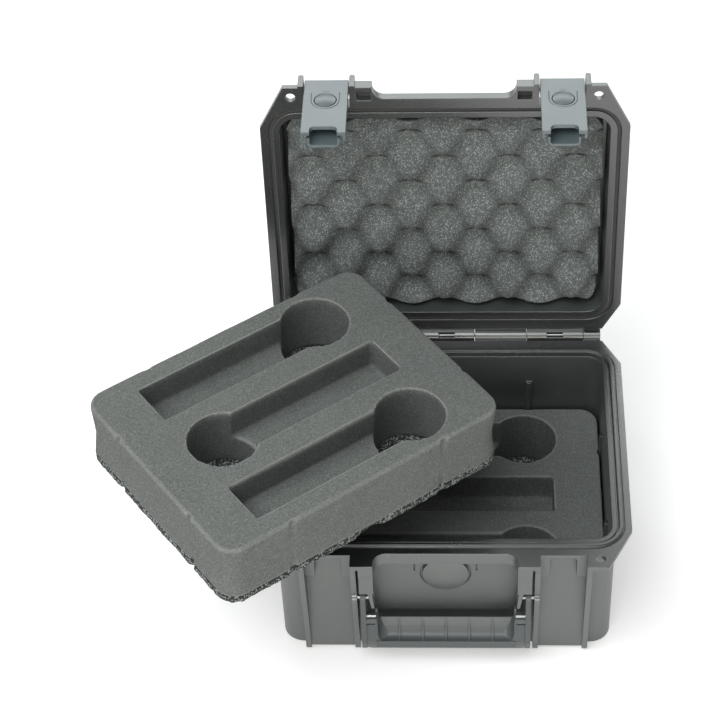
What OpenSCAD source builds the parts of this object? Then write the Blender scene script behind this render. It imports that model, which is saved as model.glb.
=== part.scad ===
// Hard microphone case: moulded base and lid, two press-and-pull latches, a fold-down
// handle, a pressure valve, an egg-crate lid foam and two slotted foam trays.
// Frame: origin on the floor under the middle of the base, +X right, +Y back, +Z up.
// The lid stands open and the upper tray is lifted out and turned, as in the photograph.
// Lid pieces are drawn closed, lid rim on base rim, and lid_pose() opens them.

/* [Inside] */
// Width of the opening at the rim
inner_w = 241.3; // [225:0.1:270]
// Depth of the opening at the rim, front to back
inner_d = 187.3; // [175:0.1:210]
// Depth of the base below its rim
base_deep = 109.5; // [105:0.5:130]
// Depth of the lid above its rim
lid_deep = 22.5; // [20:0.5:60]
// Radius of the opening's corners
inner_r = 13; // [10:0.5:18]
// How far each wall leans in over its height
draft = 1.3; // [0.8:0.1:2]

/* [Walls] */
// Thickness of the side walls
wall_t = 3.2; // [2.6:0.1:4]
// Thickness of the base's floor
floor_t = 6; // [3:0.1:8]
// Thickness of the lid's top
lid_top_t = 4; // [3:0.1:6]
// Radius that rounds the lid's top edges
edge_r = 6; // [4:0.5:7]
// Radius that rounds the base's lower edges
foot_r = 1.6; // [1:0.1:3]

/* [Rim] */
// Width of the thick bead round the opening
bead_w = 10.35; // [9.8:0.05:12]
// Height of the base's bead
bead_h = 10; // [8:0.5:12]
// Height of the lid's bead
lid_bead_h = 8; // [7:0.5:10]
// Thickness of the thin outer flange
flange_t = 4; // [3:0.1:5]
// Gap between the two rims when closed
rim_gap = 0.5; // [0.3:0.05:0.8]
// Flange reach past the opening at the sides
side_out = 14.15; // [13:0.05:16]
// Flange reach past the opening at the front
front_out = 27.35; // [26:0.05:30]
// Flange reach past the opening at the back
back_out = 17.65; // [16:0.05:18]
// Flange reach past the opening at the middle of the front
centre_out = 14.85; // [13:0.05:16]
// Thickness of the front flange at the middle
centre_t = 11; // [8:0.5:13]
// Height of the sealing tongue on the base
tongue_h = 1.8; // [0.8:0.1:2.2]
// Width of the sealing tongue
tongue_w = 2.4; // [1.8:0.1:2.6]
// Thickness of the seal in the lid
gasket_t = 2.8; // [2:0.1:3]

/* [Hinge] */
// Distance of the hinge axis behind the opening
hinge_out = 23.95; // [23.5:0.05:25]
// Radius of the knuckles
knuckle_r = 5.3; // [4.6:0.1:5.6]
// Radius of the steel hinge pin
hinge_pin_r = 1.6; // [1.2:0.1:2.2]
// Half width of the middle knuckle
knuckle_a = 22; // [18:0.5:24]
// Width of the second knuckles
knuckle_b = 40.5; // [36:0.5:42]
// Width of the third knuckles
knuckle_c = 44.3; // [40:0.5:46]
// Width of the end lugs
knuckle_d = 13.2; // [10:0.2:14]
// Gap between neighbouring knuckles
knuckle_gap = 0.35; // [0.2:0.05:0.6]
// Width of the windows that show the pin
window_w = 12.5; // [8:0.5:16]
// Angle that the lid stands open
lid_open = 92; // [80:1:96]

/* [Latches] */
// Distance of each latch from the middle
latch_x = 84.9; // [82:0.1:90]
// Width of a latch
latch_w = 31.8; // [28:0.1:34]
// Length of a latch
latch_len = 64; // [60:0.5:66]
// Thickness of the latch's face plate
latch_plate = 3; // [2.4:0.1:3.6]
// Depth of the latch's side walls
latch_side = 7; // [6.4:0.1:7.6]
// Gap beside a latch
latch_gap = 0.6; // [0.4:0.1:1]
// Thickness of the fins beside a latch
fin_t = 4; // [3:0.1:5]
// Radius of the latch pins
latch_pin_r = 1.5; // [1.2:0.1:1.9]
// Height of the strike band on the base
strike_h = 26; // [24:0.5:27]
// How far the strike stands out from the bead at the rim
strike_out = 6; // [5:0.1:6.4]
// How far the strike's face leans in towards its lower edge
strike_lean = 3.1; // [2.5:0.1:3.5]
// How far the trigger's hooks reach under the strike
hook_grip = 0.8; // [0.4:0.1:1]
// Width of the trigger's cup
cup_w = 23; // [21:0.5:25]
// Depth of the trigger's cup below the latch's face
cup_deep = 14.1; // [13:0.1:14.2]
// Radius of the push button
button_r = 7.7; // [6.5:0.1:8.5]

/* [Handle] */
// Height of the handle's pins above the floor
handle_z = 73; // [71:0.5:74.5]
// Distance of the handle's pins in front of the wall
handle_out = 16.15; // [15:0.05:17]
// Radius of the handle's pins
handle_pin_r = 1.5; // [1.2:0.1:1.8]
// Half width over the handle's rails
rail_x = 62.2; // [62:0.1:63.4]
// Width of a rail
rail_w = 3.9; // [3.4:0.1:4.4]
// Half width of the finger gap
grip_x = 50.2; // [46:0.1:51]
// Radius that rounds the finger gap's lower corners
cheek_r = 8; // [5:0.5:9]
// Number of ribs across the grip
grip_ribs = 5; // [3:2:7]
// Spacing of the ribs across the grip
grip_rib_pitch = 17.2; // [12:0.2:18]

/* [Valve] */
// Radius of the pressure valve's cap
valve_r = 17; // [14:0.5:18]
// Height of the valve above the floor
valve_z = 81.3; // [79:0.1:84]
// Radius of the valve's stem
valve_stem_r = 7; // [5:0.5:9]

/* [Trays] */
// Thickness of a tray's foam
foam_t = 48.2; // [44:0.2:48.4]
// Thickness of a tray's backing
backing_t = 6.3; // [4:0.1:6.3]
// Gap between a tray and the walls at the floor
tray_gap = 0.55; // [0.4:0.05:1.2]
// Radius of a tray's corners
tray_r = 15; // [14:0.5:22]
// How far a tray's sides draw in
tray_waist = 2.2; // [1:0.1:3]
// Width of a microphone slot
slot_w = 35; // [28:0.5:38]
// Depth of a microphone slot
slot_deep = 24; // [18:0.5:30]
// Half length of a microphone slot
slot_x = 82.2; // [76:0.2:84]
// Spacing of the slots
slot_pitch = 58; // [52:0.5:60]
// Radius of the hole for a microphone's head
head_r = 25.2; // [22:0.2:27]
// Distance of the head holes from the middle
head_x = 60; // [54:0.5:62]
// Middle of the lifted tray's top
lifted_at = [-107.2, -48.6, 209.6];
// Tilt of the lifted tray about X and Y and its turn about Z
lifted_turn = [1.3, 1.3, 38];

/* [Lid foam] */
// Distance of the foam's edges from the lid's walls
lid_foam_gap = 4.4; // [3:0.1:6]
// Spacing of the peaks along the width
wave_x = 49; // [40:1:60]
// Spacing of the peaks from front to back
wave_y = 46.6; // [40:0.2:60]
// Height of the waves above and below their middle
wave_h = 8.5; // [5:0.5:9]

/* [Hidden] */
LEFT = -1;
RIGHT = 1;
ROUND = 64;
HULL_ROUND = 32;
THIN = 0.01;
CUT = 1;
RUN = 0.05;

shell_colour = [0.40, 0.42, 0.415];
latch_colour = [0.58, 0.63, 0.65];
steel_colour = [0.78, 0.79, 0.80];
seal_colour = [0.08, 0.08, 0.08];
foam_colour = [0.44, 0.46, 0.45];
lid_foam_colour = [0.30, 0.32, 0.32];
backing_colour = [0.17, 0.18, 0.18];

// Half sizes of the opening and the heights of the rims
hw = inner_w/2;
hd = inner_d/2;
rim_z = floor_t + base_deep;
lid_z = rim_z + rim_gap;
lid_in_top = lid_z + lid_deep;
lid_top = lid_in_top + lid_top_t;
skid_h = 3;
tongue_at = 5.3;
gasket_z = rim_z + tongue_h + 0.1;

// Planes across the front, from the wall outwards
wall_y = -(hd + wall_t);
bay_y = wall_y - 4.35;
bead_y = -(hd + bead_w);
strike_y = bead_y - strike_out;
centre_y = -(hd + centre_out);
front_y = -(hd + front_out);
back_y = hd + back_out;
side_x = hw + side_out;
centre_half = 43;
bracket_in = 52.2;
bracket_out = 62.6;
notch_round = 9;
corner_cut = [18.3, 36];
back_cut = [13.5, 25.3];

// Hinge axis and the ends of its knuckles
hinge_y = hd + hinge_out;
hinge_z = rim_z + rim_gap/2;
knuckle_1 = knuckle_a + knuckle_b;
knuckle_2 = knuckle_1 + knuckle_c;
knuckle_3 = knuckle_2 + knuckle_d;

// Latches, in the closed lid's frame
bay_half = latch_w/2 + latch_gap;
fin_in = bay_half + fin_t/2;
latch_y = front_y + 1.8;
latch_pivot_y = latch_y + 5.9;
latch_pivot_z = lid_z + 7;
latch_top = latch_pivot_z + 6.5;
latch_low = latch_top - latch_len;
latch_barrel_r = latch_pin_r + 2.1;
plate_back = latch_y + latch_plate;
strike_low = rim_z - strike_h;
trigger_z = latch_top - 32.5;
trigger_y = latch_y + 6;
trigger_pin_r = 1;
trigger_barrel_r = 2.4;
button_z = latch_top - 25.8;
strike_foot_y = strike_y + strike_lean;
cup_back = latch_y + cup_deep;
cup_top = strike_low - 0.7;
cup_low = latch_low + 0.5;
cup_wall = 1.6;
cup_round = 4;
cup_lean = 9.6;
cup_top_y = cup_back - (cup_top - cup_low)*tan(cup_lean);
hook_y = strike_foot_y + hook_grip;
hook_h = 4.2;
web_t = 1.5;
web_y = trigger_y - 2.1;
bar_z = button_z + button_r + 1.6;
bar_t = 2;
bar_deep = 3.9;
leaf_t = 0.5;
leaf_half = 4;

// Handle and valve
handle_y = wall_y - handle_out;
rail_in = rail_x - rail_w;
eye_r = handle_pin_r + 2.7;
stop_z = handle_z - 20.5;
cheek_t = 1.8;
grip_top = 40.5;
grip_low = 14.5;
grip_front = front_y + 1.9;
grip_back = wall_y - 7.65;
leg_w = 4.6;
fin_x = latch_x - fin_in;
valve_t = 4;
valve_dome_r = 62;
valve_seal_t = 1.2;
stem_len = wall_t - 0.1;
vent_r = valve_stem_r - 2;
vent_deep = 1.8;

// Trays
tray_hw = hw - draft - tray_gap;
tray_hd = hd - draft - tray_gap;
tray_t = foam_t + backing_t;
guide_y = 45;
guide_x = 64.5;
guide_r = 2.4;
notch_r = guide_r + 1;
heads = [1, -1, 1];
arch_w = 24;
arch_h = 5;
arch_r = (arch_w*arch_w/4 + arch_h*arch_h)/(2*arch_h);

// Lid foam
lid_foam_hw = hw - lid_foam_gap;
lid_foam_hd = hd - lid_foam_gap;
wave_mid = lid_z + wave_h + 1;
wave_at = [-1.5, 74];
foam_corner = 12;
wave_cols = 36;
wave_rows = 28;

// --- helpers -----------------------------------------------------------------

// A rectangle with true round corners, given by its half sizes
module rounded(hx, hy, r) {
    square([2*(hx - r), 2*hy], center = true);
    square([2*hx, 2*(hy - r)], center = true);
    for (sx = [-1, 1], sy = [-1, 1]) translate([sx*(hx - r), sy*(hy - r)]) circle(r);
}

// The opening's outline moved outwards by o
module opening(o = 0) rounded(hw + o, hd + o, inner_r + o);

// A thin plate of the opening's outline at height z
module plate(z, o) translate([0, 0, z]) linear_extrude(THIN) opening(o, $fn = HULL_ROUND);

// A ring round the opening between two offsets
module rim_ring(from, to, z, h) translate([0, 0, z]) linear_extrude(h, $fn = ROUND)
    difference() { opening(to); opening(from); }

// Extrudes a [y, z] outline from x0 to x1
module across(x0, x1) translate([x0, 0, 0]) rotate([90, 0, 90]) linear_extrude(x1 - x0) children();

// Extrudes an [x, z] outline from y0 to y1
module forward(y0, y1) translate([0, y1, 0]) rotate([90, 0, 0]) linear_extrude(y1 - y0) children();

// A rod along X about the point (y, z)
module rod(x0, x1, y, z, r) translate([x0, y, z]) rotate([0, 90, 0])
    cylinder(h = x1 - x0, r = r, $fn = ROUND);

// A box between two corners
module box(low, high) translate(low) cube(high - low);

// Both sides of the case
module both_sides() for (s = [LEFT, RIGHT]) on_side(s) children();
module on_side(s) mirror([s < 0 ? 1 : 0, 0, 0]) children();

// Opens the lid and all that it carries
module lid_pose() translate([0, hinge_y, hinge_z]) rotate([-lid_open, 0, 0])
    translate([0, -hinge_y, -hinge_z]) children();

// --- rim and flange ----------------------------------------------------------

// Half of the flange's outline, x >= 0, with a square corner left for the notch's rounding
function flange_half(reach) = [[0, reach], [centre_half, reach], [centre_half, reach - notch_round],
    [centre_half + notch_round, reach - notch_round], [centre_half + notch_round, front_y],
    [side_x - corner_cut[0], front_y], [side_x, front_y + corner_cut[1]],
    [side_x, back_y - back_cut[1]], [side_x - back_cut[0], back_y], [0, back_y]];

// Flange outline with the latch bays cut back to the bead
module flange_outline(reach) difference() {
    for (s = [0, 1]) mirror([s, 0]) polygon(flange_half(reach));
    for (s = [0, 1]) mirror([s, 0]) {
        translate([centre_half, reach - notch_round]) circle(notch_round, $fn = ROUND);
        translate([latch_x - bay_half, front_y - CUT]) square([2*bay_half, bead_y - front_y + CUT]);
    }
}

// Thin outer flange with thicker stretches at the middle of the front
module flange(z, t, mid_z, mid_t, reach) {
    translate([0, 0, z]) linear_extrude(t) flange_outline(reach);
    translate([0, 0, mid_z]) linear_extrude(mid_t) intersection() {
        flange_outline(reach);
        translate([-bracket_out, front_y]) square([2*bracket_out, front_out]);
    }
}

// Holes for padlocks through the front corners of a flange
padlock_x = side_x - 23.8;
padlock_y = front_y + 8.4;
padlock_r = 3.6;
module padlock_holes(z, t) both_sides() translate([padlock_x, padlock_y, z - CUT])
    cylinder(h = t + 2*CUT, r = padlock_r, $fn = ROUND);

// --- hinge -------------------------------------------------------------------

// One knuckle with its arm to the flange; up is 1 on the lid and -1 on the base
module knuckle(x0, x1, up) {
    rod(x0, x1, hinge_y, hinge_z, knuckle_r);
    root = hd + bead_w - 2;
    if (up > 0) box([x0, root, lid_z], [x1, hinge_y, hinge_z + knuckle_r]);
    else box([x0, root, hinge_z - knuckle_r], [x1, hinge_y, rim_z]);
}

module base_knuckles() both_sides() {
    knuckle(knuckle_a + knuckle_gap/2, knuckle_1 - knuckle_gap/2, -1);
    knuckle(knuckle_2 + knuckle_gap/2, knuckle_3, -1);
}

// Open trough over the pin's ends
module base_hinge_cuts() {
    rod(-knuckle_3 - CUT, knuckle_3 + CUT, hinge_y, hinge_z, hinge_pin_r);
    both_sides() box([knuckle_2 + 1.2, hinge_y - 2.2, hinge_z], [knuckle_3 - 1.2, hinge_y + 2.2, hinge_z + 9]);
}

module lid_knuckles() {
    knuckle(-knuckle_a + knuckle_gap/2, knuckle_a - knuckle_gap/2, 1);
    both_sides() knuckle(knuckle_1 + knuckle_gap/2, knuckle_2 - knuckle_gap/2, 1);
}

// Bores and the windows that show the pin from the front of the open lid
module lid_hinge_cuts() {
    rod(-knuckle_2 - CUT, knuckle_2 + CUT, hinge_y, hinge_z, hinge_pin_r + RUN);
    for (x = [0, (knuckle_1 + knuckle_2)/2, -(knuckle_1 + knuckle_2)/2])
        translate([x, hinge_y, hinge_z]) rotate([45, 0, 0])
            translate([-window_w/2, -knuckle_r - CUT, -2.2]) cube([window_w, knuckle_r + CUT, 4.4]);
}

module hinge_pin() color(steel_colour) rod(-knuckle_3 + 0.4, knuckle_3 - 0.4, hinge_y, hinge_z, hinge_pin_r);

// --- base --------------------------------------------------------------------

module base_body() hull() {
    for (step = [[0, 4.2], [1.2, 1.8], [3.4, 0.4], [6, 0]])
        plate(step[0]*foot_r/6, wall_t - draft + 0.4 - step[1]*foot_r/6);
    plate(rim_z - THIN, wall_t);
}

module base_cavity() hull() {
    plate(floor_t, -draft);
    plate(rim_z, 0);
    plate(rim_z + tongue_h + CUT, 0);
}

// Outline of a fin beside a latch, from its foot up to the rim
fin_foot = -(hd + 9.85);
fin_top = front_y + 1.5;
module base_fin_outline() polygon([[wall_y + 2, 2], [fin_foot + 2, 1.2], [fin_foot + 0.4, 1.8],
    [fin_foot, 3.4], [fin_top, rim_z - 9], [fin_top, rim_z - 1], [fin_top + 1, rim_z], [bead_y + 2, rim_z]]);

// Panel behind a latch and the band that its cup hooks under
module strike() {
    across(latch_x - fin_in, latch_x + fin_in)
        polygon([[wall_y + 2, 1.2], [bay_y + 1.2, 1.2], [bay_y, 2.7], [bay_y, rim_z - 2],
            [wall_y + 2, rim_z - 2]]);
    difference() {
        across(latch_x - bay_half - 1, latch_x + bay_half + 1) polygon([[bead_y + 2, strike_low],
            [strike_foot_y, strike_low], [strike_y, rim_z], [bead_y + 2, rim_z]]);
        forward(strike_y - CUT, bay_y - 0.8) translate([latch_x, 0]) strike_arch();
    }
}

module strike_arch() {
    arch_w = cup_w - 3.6;
    arch_top = rim_z - 2.6;
    translate([-arch_w/2, strike_low - CUT]) square([arch_w, arch_top - 4 - strike_low + CUT]);
    translate([-arch_w/2 + 4, strike_low]) square([arch_w - 8, arch_top - strike_low]);
    for (s = [-1, 1]) translate([s*(arch_w/2 - 4), arch_top - 4]) circle(4, $fn = ROUND);
}

// Bracket that carries a handle pin between itself and the fin
leg_low = handle_z - 10.5;
bracket_low = handle_z + 8.6;
bracket_front = front_y + 3.2;
module bracket() {
    box([bracket_in, bracket_front, bracket_low], [bracket_out, wall_y + 2, rim_z - 1]);
    intersection() {
        across(bracket_in - 1, bracket_in + leg_w) polygon([[wall_y + 2, leg_low - 4],
            [handle_y + 3, leg_low - CUT], [handle_y - 2, leg_low - CUT], [handle_y - 4.4, leg_low + 3],
            [bracket_front, bracket_low + 1], [wall_y + 2, bracket_low + 1]]);
        forward(bracket_front - CUT, wall_y + 2 + CUT) leg_front();
    }
    rod(fin_x - fin_t/2, fin_x + fin_t/2, handle_y, handle_z, handle_pin_r + 3);
}

// Front outline of the bracket's leg, which tapers and leans in to a rounded end
module leg_front() {
    polygon([[bracket_in + 1, bracket_low + 1], [bracket_in - 0.4, leg_low + 1],
        [bracket_in + 1.6, leg_low + 1], [bracket_in + leg_w - 0.2, bracket_low + 1]]);
    translate([bracket_in + 0.6, leg_low + 1]) circle(1, $fn = ROUND);
}

// Moulded ribs on the sides and back
module shell_ribs(z0, z1, lean) {
    for (y = [-56, -19, 18, 55], s = [-1, 1])
        half_round_rib([s*(hw + wall_t - lean), y], z0, z1);
    for (x = [-88, -32, 32, 88]) half_round_rib([x, hd + wall_t - lean], z0, z1);
}
module half_round_rib(at, z0, z1) translate([at[0], at[1], z0]) cylinder(h = z1 - z0, r = 3.4, $fn = ROUND);

// Places a child on each line of the guide ribs, which the trays' notches pass
module at_guides(on_sides, on_ends) {
    if (on_sides) for (s = [-1, 1], y = [-guide_y, guide_y]) translate([s*(hw - 0.4), y, 0]) children();
    if (on_ends) for (x = [-guide_x, guide_x], s = [-1, 1]) translate([x, s*(hd - 0.4), 0]) children();
}
module guides() intersection() {
    union() {
        at_guides(true, false) translate([0, 0, floor_t - 0.5]) cylinder(h = 73, r = guide_r, $fn = ROUND);
        at_guides(false, true) translate([0, 0, floor_t - 0.5]) cylinder(h = 83, r = guide_r, $fn = ROUND);
    }
    linear_extrude(rim_z, $fn = ROUND) opening(0.6);
}

// Flat seat for the valve, its bore, and the short slits beside it
module on_valve() translate([0, wall_y, valve_z]) rotate([90, 0, 0]) children();
module valve_seat() on_valve() translate([0, 0, -wall_t + 1])
    cylinder(h = wall_t - 1, r = valve_r + 2, $fn = ROUND);
module valve_bore() on_valve() translate([0, 0, -wall_t - 3])
    cylinder(h = wall_t + 3 + CUT, r = valve_stem_r, $fn = ROUND);
module valve_groove() on_valve() valve_ring(valve_r - 0.6, valve_r + 1.4, -1.2, CUT);
module valve_slits() both_sides()
    box([valve_r + 5.2, wall_y - CUT, valve_z + 2], [valve_r + 6.2, wall_y + 1.4, valve_z + 10]);

module base_shell() color(shell_colour) {
    difference() {
        union() {
            base_body();
            translate([0, 0, rim_z - bead_h]) linear_extrude(bead_h, $fn = ROUND) opening(bead_w);
            flange(rim_z - flange_t, flange_t, rim_z - centre_t, centre_t, centre_y);
            rim_ring(tongue_at, tongue_at + tongue_w, rim_z - CUT, tongue_h + CUT);
            both_sides() {
                strike();
                for (x = [latch_x - fin_in, latch_x + fin_in])
                    across(x - fin_t/2, x + fin_t/2) base_fin_outline();
                bracket();
            }
            valve_seat();
            base_knuckles();
            shell_ribs(8, rim_z - 2, 2.6);
        }
        base_cavity();
        rim_ring(3.6, 5, rim_z - 1.5, 1.5 + CUT);
        rim_ring(8.3, 9.2, rim_z - 0.9, 0.9 + CUT);
        padlock_holes(rim_z - flange_t, flange_t);
        base_hinge_cuts();
        valve_bore();
        valve_groove();
        valve_slits();
        both_sides() rod(bracket_in - CUT, fin_x + fin_t/2 - 1.2, handle_y, handle_z, handle_pin_r);
    }
    guides();
}

// --- valve -------------------------------------------------------------------

// A flat ring on the valve's axis, from height z0 to z1
module valve_ring(r0, r1, z0, z1) translate([0, 0, z0]) difference() {
    cylinder(h = z1 - z0, r = r1, $fn = ROUND);
    translate([0, 0, -CUT]) cylinder(h = z1 - z0 + 2*CUT, r = r0, $fn = ROUND);
}

module valve_cap() color(shell_colour) on_valve() difference() {
    union() {
        intersection() {
            cylinder(h = valve_t, r = valve_r, $fn = ROUND);
            translate([0, 0, valve_t - valve_dome_r]) sphere(r = valve_dome_r, $fn = 96);
        }
        translate([0, 0, -stem_len]) cylinder(h = stem_len + CUT, r = valve_stem_r, $fn = ROUND);
    }
    translate([0, 0, -stem_len - CUT]) cylinder(h = stem_len + CUT + vent_deep, r = vent_r, $fn = ROUND);
    valve_ring(valve_stem_r + 0.8, valve_stem_r + 3.2, -CUT, valve_seal_t);
}

module valve_seal() color(seal_colour) on_valve()
    valve_ring(valve_stem_r + 1, valve_stem_r + 3, 0, valve_seal_t);

module valve_membrane() color([0.9, 0.9, 0.88]) on_valve() translate([0, 0, vent_deep - 0.6])
    cylinder(h = 0.6, r = vent_r, $fn = ROUND);

// --- lid ---------------------------------------------------------------------

module lid_body() hull() {
    plate(lid_z, wall_t);
    for (step = [[6, 0], [3.4, 0.4], [1.2, 1.8], [0, 4.2]])
        plate(lid_top - THIN - step[0]*edge_r/6, wall_t - draft - 0.7 - step[1]*edge_r/6);
}

module lid_cavity() hull() {
    plate(lid_z - CUT, 0);
    plate(lid_z, 0);
    plate(lid_in_top - THIN, -draft);
}

// Fin beside a latch: an ear with a rounded tip that holds the latch's pin, and a web behind it
ear_y = front_y - 1.5;
ear_top = lid_z + 14;
module lid_fin(x) {
    translate([x, 0, 0]) forward(ear_y, front_y + 8) {
        translate([-fin_t/2, lid_z]) square([fin_t, ear_top - fin_t/2 - lid_z]);
        translate([0, ear_top - fin_t/2]) circle(fin_t/2, $fn = ROUND);
    }
    across(x - fin_t/2, x + fin_t/2) polygon([[wall_y + 2, lid_z], [front_y + 7, lid_z],
        [front_y + 7, ear_top - 2.6], [wall_y - 5, lid_top - 9], [wall_y + 2, lid_top - 7]]);
}

// Block beside the latches, and the moulding pocket in its face
module lid_block() box([centre_half + notch_round, front_y, lid_z],
    [latch_x - bay_half - fin_t + 1, bead_y + 2, lid_z + lid_bead_h + 0.4]);
module lid_pocket() box([bracket_in + 0.6, front_y + 4.3, lid_z - CUT],
    [bracket_out + 0.6, front_y + 11.5, lid_z + 6.4]);

// Raised skids on top, which keep a second case from sliding off
skid_x = 72;
skid_len = 130;
module skids() both_sides() translate([skid_x, 0, lid_top - CUT]) linear_extrude(skid_h + CUT, $fn = ROUND) {
    square([16, skid_len - 16], center = true);
    for (s = [-1, 1]) translate([0, s*(skid_len/2 - 8)]) circle(8);
}

module lid_shell() color(shell_colour) lid_pose() difference() {
    union() {
        lid_body();
        translate([0, 0, lid_z]) linear_extrude(lid_bead_h, $fn = ROUND) opening(bead_w);
        flange(lid_z, flange_t, lid_z, 6.5, centre_y - 2.5);
        both_sides() {
            for (x = [latch_x - fin_in, latch_x + fin_in]) lid_fin(x);
            lid_block();
        }
        lid_knuckles();
        shell_ribs(lid_z + 2, lid_top - 9, 2.6);
        skids();
    }
    lid_cavity();
    rim_ring(tongue_at - 0.3, tongue_at + tongue_w + 0.3, lid_z - CUT, gasket_z + gasket_t - lid_z + CUT);
    both_sides() lid_pocket();
    padlock_holes(lid_z, flange_t);
    lid_hinge_cuts();
    both_sides() rod(latch_x - fin_in - fin_t, latch_x + fin_in + fin_t, latch_pivot_y, latch_pivot_z, latch_pin_r);
}

module lid_gasket() color(seal_colour) lid_pose()
    rim_ring(tongue_at - 0.2, tongue_at + tongue_w + 0.2, gasket_z, gasket_t);

// --- lid foam ----------------------------------------------------------------

// Bends a rectangle's corners round: the grid's square corners follow a quarter circle
function bent(x, y, hx, hy, r) =
    let (a = (abs(x) - hx + r)/r, b = (abs(y) - hy + r)/r)
    a <= 0 || b <= 0 ? [x, y]
    : let (m = max(a, b)/norm([a, b])) [sign(x)*(hx - r + r*a*m), sign(y)*(hy - r + r*b*m)];

function wave(p) = wave_mid
    - wave_h*cos(360*(p[0] - wave_at[0])/wave_x)*cos(360*(p[1] - wave_at[1])/wave_y);

function grid_point(i, j) = bent(lid_foam_hw*(2*i/wave_cols - 1), lid_foam_hd*(2*j/wave_rows - 1),
    lid_foam_hw, lid_foam_hd, foam_corner);
function grid_index(i, j) = j*(wave_cols + 1) + i;

module lid_foam() color(lid_foam_colour) lid_pose() {
    edge = concat([for (i = [0 : wave_cols - 1]) [i, 0]], [for (j = [0 : wave_rows - 1]) [wave_cols, j]],
        [for (i = [0 : wave_cols - 1]) [wave_cols - i, wave_rows]],
        [for (j = [0 : wave_rows - 1]) [0, wave_rows - j]]);
    count = len(edge);
    first = (wave_cols + 1)*(wave_rows + 1);
    waves = [for (j = [0 : wave_rows], i = [0 : wave_cols])
        let (p = grid_point(i, j)) [p[0], p[1], wave(p)]];
    back = [for (e = edge) let (p = grid_point(e[0], e[1])) [p[0], p[1], lid_in_top]];
    polyhedron(points = concat(waves, back), faces = concat(
        [for (j = [0 : wave_rows - 1], i = [0 : wave_cols - 1])
            [grid_index(i, j), grid_index(i + 1, j), grid_index(i + 1, j + 1)]],
        [for (j = [0 : wave_rows - 1], i = [0 : wave_cols - 1])
            [grid_index(i, j), grid_index(i + 1, j + 1), grid_index(i, j + 1)]],
        [for (k = [0 : count - 1]) let (a = edge[k], b = edge[(k + 1) % count])
            [grid_index(b[0], b[1]), grid_index(a[0], a[1]), first + k]],
        [for (k = [0 : count - 1]) let (b = edge[(k + 1) % count])
            [grid_index(b[0], b[1]), first + k, first + (k + 1) % count]],
        [[for (k = [0 : count - 1]) first + count - 1 - k]]));
}

// --- latches -----------------------------------------------------------------

// Moves a latch's piece to its side and into the lid's frame
module on_latch(side) lid_pose() translate([side*latch_x, 0, 0]) children();

// Side profile of the latch: face plate, side walls and the round end at the pin
module latch_side_outline() {
    polygon([[latch_y, latch_low], [latch_y + latch_side, latch_low], [latch_y + latch_side, latch_pivot_z],
        [latch_pivot_y, latch_top - 1.6], [latch_pivot_y - 2.5, latch_top], [latch_y + 1.4, latch_top],
        [latch_y, latch_top - 1.4]]);
    translate([latch_pivot_y, latch_pivot_z]) circle(latch_barrel_r, $fn = ROUND);
}

// Arch that the fingers reach through at the latch's end
module pull_arch() {
    arch_w = 19.6;
    arch_h = 7;
    translate([-arch_w/2, latch_low - CUT]) square([arch_w, CUT + arch_h - 4]);
    translate([-arch_w/2 + 4, latch_low]) square([arch_w - 8, arch_h]);
    for (s = [-1, 1]) translate([s*(arch_w/2 - 4), latch_low + arch_h - 4]) circle(4, $fn = ROUND);
}

// Fine U-shaped seam round the button, open at the top
module seam() difference() {
    seam_side(button_r + 2.6, 9);
    seam_side(button_r + 2.2, 9 + CUT);
}
module seam_side(r, h) {
    translate([0, button_z]) circle(r, $fn = ROUND);
    translate([-r, button_z]) square([2*r, h]);
}

module latch_body(side) color(latch_colour) on_latch(side) difference() {
    half = latch_w/2;
    union() {
        difference() {
            across(-half, half) latch_side_outline();
            box([-half + 2, plate_back, latch_low - CUT], [half - 2, latch_y + 30, latch_pivot_z - latch_barrel_r - 1.4]);
        }
        box([-half + 1, plate_back - 0.5, bar_z], [half - 1, plate_back + bar_deep, bar_z + bar_t]);
    }
    rod(-half - CUT, half + CUT, latch_pivot_y, latch_pivot_z, latch_pin_r + RUN);
    rod(-half + 1, half - 1, trigger_y, trigger_z, trigger_pin_r);
    forward(latch_y - CUT, plate_back + CUT) pull_arch();
    forward(latch_y - CUT, latch_y + 0.4) seam();
    translate([0, latch_y - CUT, button_z]) rotate([-90, 0, 0]) cylinder(h = 9, r = button_r + 0.5, $fn = ROUND);
}

module latch_pin(side) color(steel_colour) on_latch(side)
    rod(-fin_in - fin_t/2 + 0.3, fin_in + fin_t/2 - 0.3, latch_pivot_y, latch_pivot_z, latch_pin_r);

// Cup that hooks under the strike, seen from below as a U with round corners
module cup_outline() difference() {
    cup_block(cup_w/2, 0, cup_round);
    cup_block(cup_w/2 - cup_wall, cup_wall + 0.3, cup_round - cup_wall);
}
module cup_block(half, inset, r) {
    translate([-half, latch_y]) square([2*half, cup_back - inset - r - latch_y]);
    translate([-half + r, latch_y]) square([2*(half - r), cup_back - inset - latch_y]);
    for (s = [-1, 1]) translate([s*(half - r), cup_back - inset - r]) circle(r, $fn = ROUND);
}

// Raises a cup outline along the cup's leaning back
module cup_rise() translate([0, cup_back, cup_low]) rotate([cup_lean, 0, 0])
    translate([0, -cup_back, -cup_round]) linear_extrude(cup_top - cup_low + 2*cup_round) children();

// Keeps the cup clear of the face plate when the trigger swings
module cup_room() across(-cup_w, cup_w) polygon([[plate_back + 0.7, cup_top], [plate_back + 3.1, cup_low],
    [cup_back + CUT, cup_low], [cup_back + CUT, cup_top]]);

// Hooks at the cup's upper corners, which hold under the strike's legs
module cup_hooks() for (x = [-cup_w/2, cup_w/2 - cup_wall]) across(x, x + cup_wall)
    polygon([[cup_top_y - cup_round - 1, cup_top], [hook_y, cup_top], [hook_y, cup_top - 2.6],
        [hook_y - 1, cup_top - hook_h], [cup_top_y - cup_round - 1, cup_top - hook_h]]);

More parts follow.
